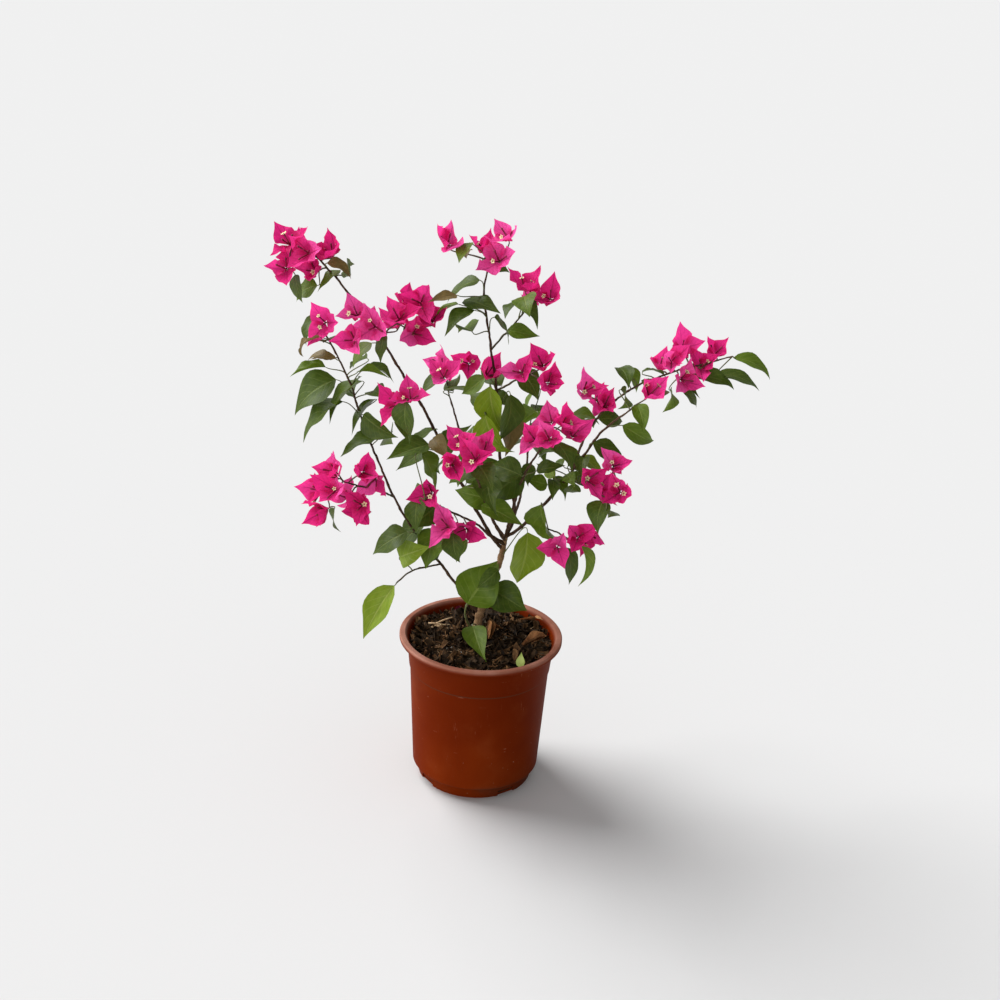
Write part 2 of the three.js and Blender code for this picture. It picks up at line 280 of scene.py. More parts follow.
# The foot is darkened in blotches by grime; a thin painted shade line lies just under the collar step and
# under the foot step.
foot_grime_and_step_shade = (1 - height.ramp(12 * MM, 20 * MM)) * blotches.ramp(0.4, 0.6) * 0.35
for step in (COLLAR_FOOT, FOOT_HEIGHT):
    step_shade_line = height.ramp(step - 1.6 * MM, step - 0.6 * MM)
    foot_grime_and_step_shade = foot_grime_and_step_shade + step_shade_line * (1 - height.ramp(step, step + 1 * MM)) * 0.6
plastic = foot_grime_and_step_shade.blend(plastic, (0.07, 0.035, 0.02))
relief = marks * 0.3 + scratches * 0.25 + cloudy * 0.8
dress(surface, plastic, relief.bump(0.25, 0.4 * MM))
plug(0.46 + blotches * 0.14 + scuffs * 0.3 + lip_dust_and_highlight * 0.16, surface, "Roughness")
pot.data.materials.append(pot_finish)
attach(pot, "root")
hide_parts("pot")


# The compost is a coarse dark mix of bark and peat, filled in loose and settled by watering. It
# sits a finger's width below the lip, with a lumpy top and a low mound round the trunk.
SOIL_EDGE = 153.5 * MM
SOIL_MIDDLE = 156 * MM
SOIL_RADIUS = 73.6 * MM
SOIL_FOOT_RADIUS = 58.9 * MM
SOIL_GAP = 0.3 * MM  # between the compost and the pot's wall and floor
TOP_RINGS = 27
TRUNK_FOOT = Vector((-5 * MM, 18 * MM, SOIL_MIDDLE))

step_height = FOOT_HEIGHT + WALL + SOIL_GAP
soil_rings = [(SOIL_FOOT_RADIUS, step_height), (BODY_FOOT_RADIUS - WALL - SOIL_GAP, step_height),
              (BODY_TOP_RADIUS - WALL - SOIL_GAP, COLLAR_FOOT),
              (SOIL_RADIUS + 0.7 * MM, SOIL_EDGE - 1 * MM), (SOIL_RADIUS, SOIL_EDGE)]
for ring in range(1, TOP_RINGS):
    share = ring / TOP_RINGS
    climb = (SOIL_MIDDLE - SOIL_EDGE) * min(1, 1.8 * share)
    soil_rings.append((SOIL_RADIUS * (1 - share), SOIL_EDGE + climb))
compost = turned_shell("compost_body", SOIL_FOOT_RADIUS, soil_rings, 96, 3 * MM + SOIL_GAP)
lumps = bpy.data.textures.new("compost lumps", "CLOUDS")
tune(lumps, noise_scale=9 * MM, noise_depth=4)
top_group = compost.vertex_groups.new(name="top")
top_group.add([v.index for v in compost.data.vertices if v.co.z > SOIL_EDGE - 0.2 * MM], 1, "REPLACE")
tune(compost.modifiers.new("loose top", "DISPLACE"), texture=lumps, texture_coords="LOCAL",
     direction="Z", vertex_group="top", strength=7 * MM, mid_level=0.55)
finish_shape(compost, 60)
top_spots = np.array([v.co for v in compost.data.vertices if v.co.z > SOIL_EDGE - 5 * MM])
top_tree = KDTree(len(top_spots))
for index, spot in enumerate(top_spots):
    top_tree.insert((spot[0], spot[1], 0), index)
top_tree.balance()


def compost_height(x, y):
    """The height of the compost's lumpy top at a place."""
    near = top_tree.find_n((x, y, 0), 3)
    return float(np.mean([top_spots[found[1]][2] for found in near]))


compost_finish, start, surface = new_finish("bark_compost", 0.9, 0.1)
where = object_place(start)
coarse = start.noise(where, 110, 6, 0.65)
fine = start.noise(where, 600, 4, 0.6)
earth = coarse.ramp(0.35, 0.65).blend((0.010, 0.006, 0.003), (0.055, 0.030, 0.014))
earth = (fine.ramp(0.6, 0.72) * 0.6).blend(earth, (0.13, 0.078, 0.038))
dress(surface, earth, (coarse + fine * 0.5).bump(0.9, 2 * MM))
compost.data.materials.append(compost_finish)
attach(compost, "root")
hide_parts("soil")


# Bits lie loose on the compost: dark and tan shreds of bark, flat wood chips, white perlite and a
# few straws. They are what is left of the milled bark and were scattered as the pot was filled.
def read_mesh(piece):
    """A piece's vertices and faces as arrays, after which the piece is removed."""
    mesh = piece.data
    spots = np.array([v.co for v in mesh.vertices])
    faces = [tuple(face.vertices) for face in mesh.polygons]
    bpy.data.objects.remove(piece)
    return spots, faces


def join_copies(name, copies, finish, smooth=True):
    """One piece from a list of (vertices, faces, flat places of the vertices or None)."""
    spots = np.concatenate([copy[0] for copy in copies])
    faces, flats, first = [], [], 0
    for places, pattern, flat in copies:
        faces += [tuple(first + corner for corner in face) for face in pattern]
        first += len(places)
        if flat is not None:
            flats.append(flat)
    mesh = bpy.data.meshes.new(name)
    mesh.from_pydata(spots.tolist(), [], faces)
    if flats:
        flats = np.concatenate(flats)
        layer = mesh.uv_layers.new(name="OFBake")
        corners = np.array([loop.vertex_index for loop in mesh.loops])
        layer.data.foreach_set("uv", flats[corners].ravel())
    mesh.polygons.foreach_set("use_smooth", [smooth] * len(mesh.polygons))
    mesh.validate()
    mesh.update()
    mesh.materials.append(finish)
    piece = bpy.data.objects.new(name, mesh)
    bpy.context.scene.collection.objects.link(piece)
    return piece


def unit(vector):
    vector = np.asarray(vector, float)
    return vector / max(1e-9, norm(vector))


def shred_shape():
    """A ragged sliver of bark: a short bar, tapered at both ends and dented."""
    waist = 0.55
    bpy.ops.mesh.primitive_cylinder_add(vertices=5, radius=0.5, depth=1, end_fill_type="NGON",
                                        rotation=(0, pi / 2, 0))
    bpy.ops.object.transform_apply()
    edit_whole()
    bpy.ops.mesh.bisect(plane_co=(-0.15, 0, 0), plane_no=(1, 0.2, 0))
    bpy.ops.mesh.select_all(action="SELECT")
    bpy.ops.mesh.bisect(plane_co=(0.2, 0, 0), plane_no=(1, -0.3, 0.1))
    change_to("OBJECT")
    sliver = bpy.context.object
    for vertex in sliver.data.vertices:
        end = min(1, abs(vertex.co.x) * 2)
        vertex.co.y *= 1 - waist * end ** 2
        vertex.co.z *= 1 - waist * end ** 3
        vertex.co.y += 0.12 * sin(5 * vertex.co.x)
    return read_mesh(sliver)


SCATTER_RADIUS = 72.5 * MM
WALL_RADIUS = 74.5 * MM  # nothing on the compost reaches past this


def scatter(name, shape, count, length, width, thick, seed, tilt, centre_pull, finish):
    """Copies of a shape laid at random on the compost, each with its own size and turn."""
    draw = np.random.default_rng(seed)
    spots, faces = shape
    copies = []
    for _ in range(count):
        radius = SCATTER_RADIUS * draw.random() ** centre_pull
        round_angle = draw.uniform(0, 2 * pi)
        x, y = radius * cos(round_angle), radius * sin(round_angle)
        size = np.array([draw.uniform(*length), draw.uniform(*width), draw.uniform(*thick)]) * MM
        turn = (Matrix.Rotation(draw.uniform(0, 2 * pi), 3, "Z")
                @ Matrix.Rotation(draw.normal(0, tilt), 3, "Y")
                @ Matrix.Rotation(draw.normal(0, tilt), 3, "X"))
        placed = (spots * size) @ np.array(turn).T
        placed += (x, y, compost_height(x, y) - 0.4 * placed[:, 2].min())
        reach = np.hypot(placed[:, 0], placed[:, 1])
        placed[:, :2] *= np.minimum(1, WALL_RADIUS / np.maximum(reach, 1e-9))[:, None]
        copies.append((placed, faces, None))
    piece = join_copies(name, copies, finish, smooth=False)
    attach(piece, "root")


def grainy_finish(name, dark, light, roughness, grain_scale):
    finish, start, surface = new_finish(name, roughness, 0.12)
    grain = start.noise(object_place(start), grain_scale, 5, 0.65)
    dress(surface, grain.ramp(0.35, 0.68).blend(dark, light), grain.bump(0.5, 0.6 * MM))
    return finish


dark_bark = grainy_finish("dark_bark_shreds", (0.006, 0.003, 0.0015), (0.050, 0.028, 0.012), 0.8, 200)
brown_bark = grainy_finish("brown_bark_shreds", (0.048, 0.023, 0.009), (0.200, 0.105, 0.044), 0.75, 180)
grey_bark = grainy_finish("grey_bark_shreds", (0.075, 0.062, 0.040), (0.170, 0.145, 0.100), 0.8, 240)
tan_bark = grainy_finish("tan_wood_shreds", (0.20, 0.125, 0.065), (0.42, 0.285, 0.165), 0.75, 220)
perlite_white = grainy_finish("white_perlite", (0.50, 0.48, 0.43), (0.72, 0.70, 0.66), 0.7, 500)


def curl_shape():
    """A flake of bark, curled across its width: a bent strip with a ragged edge and some body."""
    bpy.ops.mesh.primitive_grid_add(x_subdivisions=3, y_subdivisions=2, size=1)
    flake = bpy.context.object
    edit_whole()
    bpy.ops.transform.vertex_random(offset=0.09, seed=6)
    bpy.ops.mesh.extrude_region_move(TRANSFORM_OT_translate={"value": (0, 0, 0.35)})
    face_outward()
    for vertex in flake.data.vertices:
        vertex.co.z += 4.4 * vertex.co.y ** 2 + 0.5 * vertex.co.x ** 2
    return read_mesh(flake)


sliver = shred_shape()
curl = curl_shape()
scatter("dark_bark_shreds", sliver, 1100, (4, 14), (1.4, 3.6), (0.8, 2.2), 11, 0.35, 0.52, dark_bark)
scatter("dark_bark_flakes", curl, 300, (8, 20), (4, 9), (1.2, 2.6), 12, 0.55, 0.5, dark_bark)
scatter("brown_bark_flakes", curl, 150, (8, 20), (3, 8), (1.0, 2.0), 17, 0.55, 0.5, brown_bark)
scatter("grey_bark_flakes", curl, 14, (5, 11), (3, 6), (0.9, 1.8), 18, 0.4, 0.5, grey_bark)
scatter("brown_bark_shreds", sliver, 260, (6, 20), (0.9, 2.4), (0.7, 1.6), 13, 0.35, 0.5, brown_bark)
scatter("tan_wood_shreds", sliver, 60, (6, 20), (0.7, 1.8), (0.5, 1.0), 14, 0.3, 0.55, tan_bark)
scatter("tan_wood_chips", curl, 9, (6, 11), (3, 5), (0.6, 1.0), 15, 0.3, 0.8, tan_bark)

bpy.ops.mesh.primitive_ico_sphere_add(subdivisions=1, radius=0.5)
grit = bpy.context.object
edit_whole()
bpy.ops.transform.vertex_random(offset=0.12, seed=4)
change_to("OBJECT")
grit = read_mesh(grit)
scatter("perlite_grains", grit, 90, (1.2, 2.8), (1.1, 2.6), (1.0, 2.4), 16, 1.0, 0.6, perlite_white)


# The trunk and boughs are the plant's own wood. A light tan-brown trunk flares where it leaves the
# compost and forks into slender, slightly kinked boughs that are darker, with swollen joints.
LIMBS = [  # each limb after the one it grows from
    ("trunk", None), ("bough_far_left", "trunk"), ("bough_high_left", "trunk"),
    ("bough_top", "trunk"), ("bough_right", "trunk"), ("bough_far_right", "bough_right"),
    ("bough_front_right", "trunk"), ("bough_front_left", "trunk"), ("bough_low_left", "trunk"),
    ("bough_back_right", "trunk"), ("bough_back_left", "trunk"),
    ("branch_left_blossom", "bough_far_left"), ("branch_hanging_leaf", "bough_far_left"),
    ("branch_top_back", "bough_top"), ("branch_top_front", "bough_top"),
    ("branch_right_blossom", "bough_right"), ("branch_low_right", "bough_right"),
]
LINE_STEP = 2.5 * MM
TRUNK_RING, LIMB_RING = 15.5 * MM, 8 * MM  # no ring of the solid is wider
PARENT_CLEARANCE = 9 * MM  # rings nearer than this to the parent are inside its wood
THINNER = 0.86  # bark relief adds to a limb, so its wood starts thinner than the solid
JOINT_SWELL = 0.22


def solid_rings(node, reach):
    """Centres and radii of the rings that a limb's solid is built from."""
    left = np.unique(np.round([v.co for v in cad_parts[node].data.vertices], 5), axis=0)
    rings = []
    while len(left):
        near = norm(left - left[0], axis=1) < reach
        group = left[near]
        if len(group) >= 5:
            centre = group.mean(0)
            rings.append((centre, norm(group - centre, axis=1).mean()))
        left = left[~near]
    return rings


def chained(rings, foot):
    """The rings in order from the foot, each next to the last."""
    line, last, left = [], foot, list(rings)
    while left:
        best = min(range(len(left)), key=lambda i: norm(left[i][0] - last))
        line.append(left.pop(best))
        last = line[-1][0]
    return line


def smooth_line(points, radii):
    """A rounded line through the points at an even step, with the radius at each place."""
    points, radii = np.array(points), np.array(radii)
    padded = np.vstack([2 * points[0] - points[1], points, 2 * points[-1] - points[-2]])
    line, sizes = [], []
    for i in range(len(points) - 1):
        a, b, c, d = padded[i:i + 4]
        count = max(2, int(norm(c - b) / LINE_STEP))
        for t in np.arange(count) / count:
            line.append(0.5 * (2 * b + (c - a) * t + (2 * a - 5 * b + 4 * c - d) * t ** 2
                               + (3 * b - a - 3 * c + d) * t ** 3))
            sizes.append(radii[i] + (radii[i + 1] - radii[i]) * t)
    return np.vstack([line, points[-1]]), np.append(sizes, radii[-1])


def tube_along(name, line, sizes, resolution):
    """A round bar along a line, closed at both ends, made a mesh."""
    curve = bpy.data.curves.new(name, "CURVE")
    tune(curve, dimensions="3D", bevel_depth=1, bevel_resolution=resolution, use_fill_caps=True)
    spline = curve.splines.new("POLY")
    spline.points.add(len(line) - 1)
    spline.points.foreach_set("co", np.hstack([line, np.ones((len(line), 1))]).ravel())
    spline.points.foreach_set("radius", np.asarray(sizes, float))
    tube = bpy.data.objects.new(name, curve)
    bpy.context.scene.collection.objects.link(tube)
    pick(tube)
    bpy.ops.object.convert(target="MESH")
    tube = bpy.context.object
    tube.name = tube.data.name = name
    return tube


def bark_finish(name, shades, roughness):
    """Bark with fine cracks and paler corky dots along it."""
    finish, start, surface = new_finish(name, roughness, 0.15)
    where = object_place(start)
    cracks = start.noise(object_place(start, (1, 1, 0.22)), 900, 6, 0.7)
    patches = start.noise(where, 70, 4)
    dots = start.node("TexVoronoi", None, {"Vector": where, "Scale": 420})
    bark = patches.ramp(0.35, 0.68).blend(shades[0], shades[1])
    bark = (cracks.ramp(0.5, 0.68) * 0.75).blend(bark, shades[2])
    bark = ((1 - dots.ramp(0.12, 0.24)) * 0.5).blend(bark, shades[3])
    dress(surface, bark, (cracks + patches * 0.4).bump(0.7, 0.7 * MM))
    return finish


trunk_bark = bark_finish("tan_trunk_bark", (
    (0.19, 0.105, 0.050), (0.33, 0.20, 0.105), (0.085, 0.046, 0.022), (0.38, 0.26, 0.15)), 0.8)
bough_bark = bark_finish("dark_bough_bark", (
    (0.050, 0.024, 0.013), (0.092, 0.050, 0.026), (0.026, 0.012, 0.007), (0.17, 0.11, 0.062)), 0.7)
branch_bark = bark_finish("young_branch_bark", (
    (0.055, 0.040, 0.016), (0.085, 0.066, 0.026), (0.030, 0.020, 0.010), (0.13, 0.10, 0.05)), 0.6)

bark_lumps = bpy.data.textures.new("bark lumps", "CLOUDS")
tune(bark_lumps, noise_scale=3.2 * MM, noise_depth=3)

limb_lines = {}
for number, (limb, parent) in enumerate(LIMBS):
    draw = np.random.default_rng(40 + number)
    rings = solid_rings(limb, TRUNK_RING if limb == "trunk" else LIMB_RING)
    if parent is None:
        foot = np.array(TRUNK_FOOT)
        first, flare = foot - (0, 0, 4 * MM), 1.15
    else:
        stem = limb_lines[parent]
        reach = [norm(stem - ring[0], axis=1).min() for ring in rings]
        nearest = rings[int(np.argmin(reach))][0]
        foot = stem[int(np.argmin(norm(stem - nearest, axis=1)))]
        rings = [ring for ring, gap in zip(rings, reach) if gap > PARENT_CLEARANCE]
        first, flare = foot, 1.1
    rings = chained(rings, foot)
    line, sizes = smooth_line([first] + [ring[0] for ring in rings],
                              [rings[0][1] * flare] + [ring[1] for ring in rings])
    along = np.linspace(0, len(line) * LINE_STEP, len(line))
    joints = np.maximum(0, np.cos(2 * pi * along / draw.uniform(19 * MM, 26 * MM))) ** 8
    sizes = sizes * THINNER * (1 + JOINT_SWELL * joints)
    kink = np.cumsum(draw.normal(0, 0.22 * MM, line.shape), axis=0)
    kink -= np.linspace(0, 1, len(line))[:, None] * kink[-1]
    line = line + kink
    limb_lines[limb] = line
    piece = tube_along(limb + "_wood", line, sizes, 4 if limb == "trunk" else 2)
    if limb == "trunk":
        tune(piece.modifiers.new("finer", "SUBSURF"), levels=1, render_levels=1)
    tune(piece.modifiers.new("bark relief", "DISPLACE"), texture=bark_lumps, texture_coords="LOCAL",
         strength=(2.2 if limb == "trunk" else 0.7) * MM, mid_level=0.5)
    finish_shape(piece, 75)
    piece.data.materials.append(
        trunk_bark if limb == "trunk" else branch_bark if limb.startswith("branch") else bough_bark)
    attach(piece, "root")
    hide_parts(limb)


# Thin side shoots grow from the boughs into each cluster of leaves or blossom. Every leaf stalk
# and every blossom stalk joins the nearest wood that has already grown, so the shoots branch.
UP = np.array([0, 0, 1])
CROWN_MIDDLE = np.array([5, 10, 380]) * MM
TO_LIGHT = unit((-0.45, -0.6, 0.65))
FRONT = unit((-0.1, -0.8, 0.6))
# Numbers of blossoms, then of dark, mid, lime and bronze leaves, and the leaves' length in mm.
CLUSTERS = {
    "blossom_high_left_tip": (5, 1, 1, 0, 1, 34),
    "blossom_left_twig": (1, 1, 1, 0, 1, 34),
    "blossom_high_left_front": (4, 1, 1, 0, 0, 36),
    "blossom_high_left": (6, 1, 0, 0, 0, 36),
    "blossom_far_left_tip": (1, 1, 1, 0, 5, 34),
    "blossom_middle_left": (2, 2, 0, 0, 0, 38),
    "blossom_back_left": (3, 2, 1, 0, 0, 42),
    "blossom_left": (10, 1, 0, 0, 0, 32),
    "blossom_low_left": (1, 2, 1, 0, 0, 38),
    "blossom_low_front": (2, 2, 1, 0, 0, 34),
    "blossom_front_left": (4, 2, 0, 0, 0, 38),
    "blossom_top_left": (1, 0, 1, 0, 1, 30),
    "blossom_top": (3, 1, 0, 0, 0, 30),
    "blossom_top_back": (3, 1, 0, 0, 0, 34),
    "blossom_top_front": (3, 1, 0, 0, 0, 34),
    "blossom_front_right": (5, 1, 1, 0, 0, 36),
    "blossom_right_upper": (3, 1, 2, 0, 0, 36),
    "blossom_right_front": (4, 2, 0, 0, 0, 38),
    "blossom_low_right": (3, 1, 1, 0, 0, 44),
    "blossom_right_tip": (1, 1, 1, 0, 0, 36),
    "blossom_far_right": (5, 2, 1, 0, 1, 36),
    "blossom_far_right_tip": (1, 2, 1, 0, 0, 50),
    "leaves_left_outer": (0, 2, 1, 0, 0, 58),
    "leaves_left_inner": (0, 3, 2, 0, 0, 38),
    "leaves_left_lower": (0, 3, 1, 0, 0, 46),
    "leaves_middle_left": (0, 4, 2, 0, 1, 44),
    "leaves_right": (0, 1, 1, 0, 0, 52),
    "leaves_low_left": (0, 3, 1, 1, 0, 48),
    "leaves_hanging": (0, 0, 0, 1, 0, 72),
    "leaves_top_left": (0, 3, 2, 0, 1, 42),
    "leaves_top_right": (0, 2, 2, 0, 0, 38),
    "leaves_centre": (1, 3, 1, 0, 0, 42),
    "leaves_centre_front": (0, 1, 0, 2, 1, 54),
    "leaves_back_right": (0, 5, 3, 0, 0, 42),
    "leaves_front": (0, 4, 2, 0, 0, 44),
    "leaves_middle_right": (0, 8, 6, 2, 1, 30),
    "leaves_right_upper": (0, 3, 1, 0, 0, 36),
    "leaves_low_middle": (0, 1, 0, 0, 0, 34),
    "leaves_low_right": (0, 0, 1, 1, 0, 66),
    "leaves_back_left": (0, 5, 3, 0, 0, 40),
}
USUAL_BROAD = 1.05
OWN_HABIT = {  # where a cluster's leaves point, how broad they are, and their arch in radians
    "leaves_hanging": ((-0.40, -0.20, -1.0), 0.9, None),
    "leaves_low_right": ((-0.05, -0.25, -1.0), 1.15, None),
    "blossom_far_right_tip": ((1.0, -0.15, 0.12), 0.65, 1.35),
    "leaves_right": ((0.95, -0.25, -0.25), 0.85, 1.2),
    "blossom_low_right": ((0.5, -0.3, -0.9), 0.8, None),
    "leaves_left_outer": ((-0.9, -0.3, -0.5), USUAL_BROAD, 1.0),
    "leaves_centre_front": ((0.1, -0.5, -1.0), USUAL_BROAD, None),
    "leaves_low_middle": (None, 1.2, None),
}
TINTS = ("dark", "mid", "lime", "bronze")
BLOOM_REACH = 14 * MM
LEAF_REACH = 0.36  # of the leaf's length
BLOOM_STALK = 8 * MM
GOLDEN_TURN = radians(137.5)
SPREAD_ROUNDS = 30
PUSH = 0.4  # share of the missing gap that each of two neighbours moves in a round

leaf_spots = {tint: [] for tint in TINTS}
bloom_spots = []
shoots = []
wood = np.vstack(list(limb_lines.values()))


def spread_out(centre, half, reaches, draw):
    """Places for things of some reach each, apart from each other, in an egg of that half size."""
    count = len(reaches)
    turn = draw.uniform(0, 2 * pi)
    places = []
    for i in range(count):
        level = 1 - 2 * (i + 0.5) / count
        angle = turn + i * GOLDEN_TURN
        ring = sqrt(1 - level ** 2)
        share = draw.uniform(0.65, 1.0) if count > 1 else 0.15
        places.append([share * ring * cos(angle), share * ring * sin(angle), share * level])
    places = np.array(places)
    room = np.maximum(half - 0.6 * reaches[:, None], 3 * MM)
    spots = places * room
    for _ in range(SPREAD_ROUNDS):
        for i in range(count):
            for j in range(i):
                gap = spots[i] - spots[j]
                distance = max(1e-6, norm(gap))
                lack = 0.85 * (reaches[i] + reaches[j]) - distance
                if lack > 0:
                    spots[i] += PUSH * lack * gap / distance
                    spots[j] -= PUSH * lack * gap / distance
        spots = np.clip(spots, -room, room)
    return centre + spots


def grow_shoot(foot, foot_way, tip, tip_way, foot_radius, tip_radius, grown):
    """A curved shoot from the wood to a place, leaving and arriving along given ways."""
    span = norm(tip - foot)
    handle_a = foot + foot_way * span * 0.35
    handle_b = tip - tip_way * span * 0.35
    t = np.linspace(0, 1, max(4, int(span / (4 * MM)) + 2))[:, None]
    path = ((1 - t) ** 3 * foot + 3 * (1 - t) ** 2 * t * handle_a
            + 3 * (1 - t) * t ** 2 * handle_b + t ** 3 * tip)
    shoots.append((path, np.linspace(foot_radius, tip_radius, len(path)), grown))
    return path


for number, (cluster, plan) in enumerate(CLUSTERS.items()):
    draw = np.random.default_rng(500 + number)
    low, high = np.array(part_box(cluster))
    centre, half = (low + high) / 2, (high - low) / 2
    leaf_length = plan[5] * MM
    set_way, broad, set_arch = OWN_HABIT.get(cluster, (None, USUAL_BROAD, None))
    things = []
    for thing, amount in zip(("bloom", *TINTS), plan):
        things += [thing] * amount
    draw.shuffle(things)
    things.sort(key=lambda thing: thing != "bloom")
    reaches = np.array([BLOOM_REACH if thing == "bloom" else LEAF_REACH * leaf_length for thing in things])
    places = spread_out(centre, half, reaches, draw)
    nearby = wood
    order = np.argsort([norm(nearby - place, axis=1).min() for place in places])
    for i in order:
        place, thing = places[i], things[i]
        outward = unit(place - CROWN_MIDDLE)
        # A shoot starts from near wood, and rather from below than from above.
        cost = norm(nearby - place, axis=1) + 0.6 * np.maximum(0, nearby[:, 2] - place[2] + 8 * MM)
        root = nearby[int(np.argmin(cost))]
        away = unit(place - root)
        if thing == "bloom":
            way = unit(0.25 * away + 0.3 * outward + 0.75 * FRONT + draw.normal(0, 0.28, 3))
            base = place - way * BLOOM_STALK
            size = draw.uniform(0.9, 1.08)
            bloom_spots.append((base, way, size, draw.integers(3), draw.uniform(0, 2 * pi)))
            path = grow_shoot(root, unit(away + 0.4 * UP), base, way, 0.9 * MM, 0.55 * MM, True)
            if len(path) > 3:
                nearby = np.vstack([nearby, path[1:-1]])
        else:
            droop = draw.uniform(-0.15, 0.65)
            way = unit(0.9 * away * (1, 1, 0.5) + 0.25 * outward * (1, 1, 0) - droop * UP
                       + draw.normal(0, 0.4, 3) * (1, 1, 0.5))
            if set_way:
                way = unit(set_way + draw.normal(0, 0.12, 3))
            facing = unit(0.6 * UP + 0.45 * TO_LIGHT + 0.3 * outward + draw.normal(0, 0.35, 3))
            facing = unit(facing - way * np.dot(facing, way))
            length = leaf_length * draw.uniform(0.82, 1.12) * (0.8 if thing == "bronze" else 1)
            base = place - way * length * 0.45
            if cluster == "leaves_hanging":
                base = limb_lines["branch_hanging_leaf"][-1] + way * 4 * MM
            leaf_spots[thing].append((base, way, facing, length, broad, set_arch, draw.integers(1 << 30)))
            climb = 0.1 if set_way else 0.5
            grow_shoot(root, unit(unit(base - root) + climb * UP), base, unit(way + 0.5 * UP),
                       0.7 * MM, 0.45 * MM, False)

# Three big leaves stand low round the trunk: one hangs in front, one tops a young basal shoot and one
# grows from the trunk's right side. Each has its stalk's start and way, its end and way, its radii, then
# the leaf's tint, way, facing, length, breadth, arch and seed, in mm from the trunk's foot.
LOW_LEAVES = (
    ((0, -4, 8), (0, -0.8, 0.6), (-4, -24, 18.5), (0.1, -1, -0.1), (0.9, 0.6),
     "mid", (0.16, -1, 0.0), (-0.1, -0.3, 0.9), 61, 0.85, 0.45, 77),
    ((-3, -3, 2), (-0.9, 0, 1), (-11, -12, 38), (0.3, -0.1, 1), (1.4, 0.9),
     "mid", (0.46, -0.30, 1.0), (-0.25, -1, 0.1), 66, 1.3, None, 81),
    ((4, 0, 40), (1, -0.3, 0.6), (13, -8, 55), (1, -0.4, 0), (0.9, 0.6),
     "dark", (0.85, -0.5, -0.28), (-0.1, -0.8, 0.6), 46, 1.6, None, 79),
)
for first, first_way, last, last_way, radii, tint, way, facing, length, broad, arch, seed in LOW_LEAVES:
    root, base = (np.array(TRUNK_FOOT) + np.array(place) * MM for place in (first, last))
    grow_shoot(root, unit(first_way), base, unit(last_way), radii[0] * MM, radii[1] * MM, False)
    leaf_spots[tint].append((base, unit(way), unit(facing), length * MM, broad, arch, seed))


def shoot_copies(grown, sides):
    """The shoots of one kind as copies for one joined piece."""
    copies = []
    for path, radii, kind in shoots:
        if kind != grown:
            continue
        ways = np.gradient(path, axis=0)
        ways /= np.maximum(norm(ways, axis=1), 1e-9)[:, None]
        side = unit(np.cross(ways[0], (0.31, 0.95, 0.12)))
        rings = []
        for spot, way, radius in zip(path, ways, radii):
            side = unit(side - way * np.dot(side, way))
            over = np.cross(way, side)
            for k in range(sides):
                angle = 2 * pi * k / sides
                rings.append(spot + radius * (cos(angle) * side + sin(angle) * over))
        count = len(path)
        faces = [(i * sides + k, i * sides + (k + 1) % sides, (i + 1) * sides + (k + 1) % sides,
                  (i + 1) * sides + k) for i in range(count - 1) for k in range(sides)]
        faces += [tuple(reversed(range(sides))), tuple(range((count - 1) * sides, count * sides))]
        copies.append((np.array(rings), faces, None))
    return copies


def stalk_finish(name, dark, light):
    finish, start, surface = new_finish(name, 0.55)
    streaks = start.noise(object_place(start), 240, 4)
    dress(surface, streaks.ramp(0.35, 0.65).blend(dark, light), streaks.bump(0.3, 0.3 * MM))
    return finish


blossom_shoots = join_copies("blossom_shoots", shoot_copies(True, 6), stalk_finish(
    "red_brown_shoots", (0.060, 0.040, 0.022), (0.115, 0.085, 0.040)))
leaf_stalks = join_copies("leaf_stalks", shoot_copies(False, 5), stalk_finish(
    "green_leaf_stalks", (0.075, 0.085, 0.025), (0.150, 0.165, 0.050)))
for piece in (blossom_shoots, leaf_stalks):
    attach(piece, "root")


# The leaves are thin, smooth and pointed, folded a little along the midrib and arched to the tip.
# Most are dark green, some are younger and lighter, and the newest at the shoot ends are bronze.
BLADE_TIP = 0.002  # half the width left at a blade's tip
FLAT_EDGE = 0.02  # left free round a blade's flat place
BEND_STEPS = 32


def blade_shape(outline, across, rows):
    """A flat blade: a grid whose rows are drawn in to an outline of (place along, half width)."""
    bpy.ops.mesh.primitive_grid_add(x_subdivisions=across, y_subdivisions=rows, size=1,
                                    location=(0, 0.5, 0))
    blade = bpy.context.object
    bpy.ops.object.transform_apply()
    marks, widths = zip(*outline)
    change_to("EDIT")
    bpy.ops.mesh.select_mode(type="VERT")
    for row in range(rows + 1):
        along = row / rows
        bpy.ops.mesh.select_all(action="DESELECT")
        change_to("OBJECT")
        for vertex in blade.data.vertices:
            vertex.select = abs(vertex.co.y - along) < 0.2 / rows
        change_to("EDIT")
        width = max(BLADE_TIP, float(np.interp(along, marks, widths)))
        bpy.ops.transform.resize(value=(2 * width, 1, 1), center_override=(0, along, 0))
    change_to("OBJECT")
    spots, faces = read_mesh(blade)
    width = np.interp(spots[:, 1], marks, widths)
    flat = np.stack([0.5 + 0.5 * spots[:, 0] / np.maximum(width, BLADE_TIP), spots[:, 1]], 1)
    return spots, faces, FLAT_EDGE + (1 - 2 * FLAT_EDGE) * np.clip(flat, 0, 1)


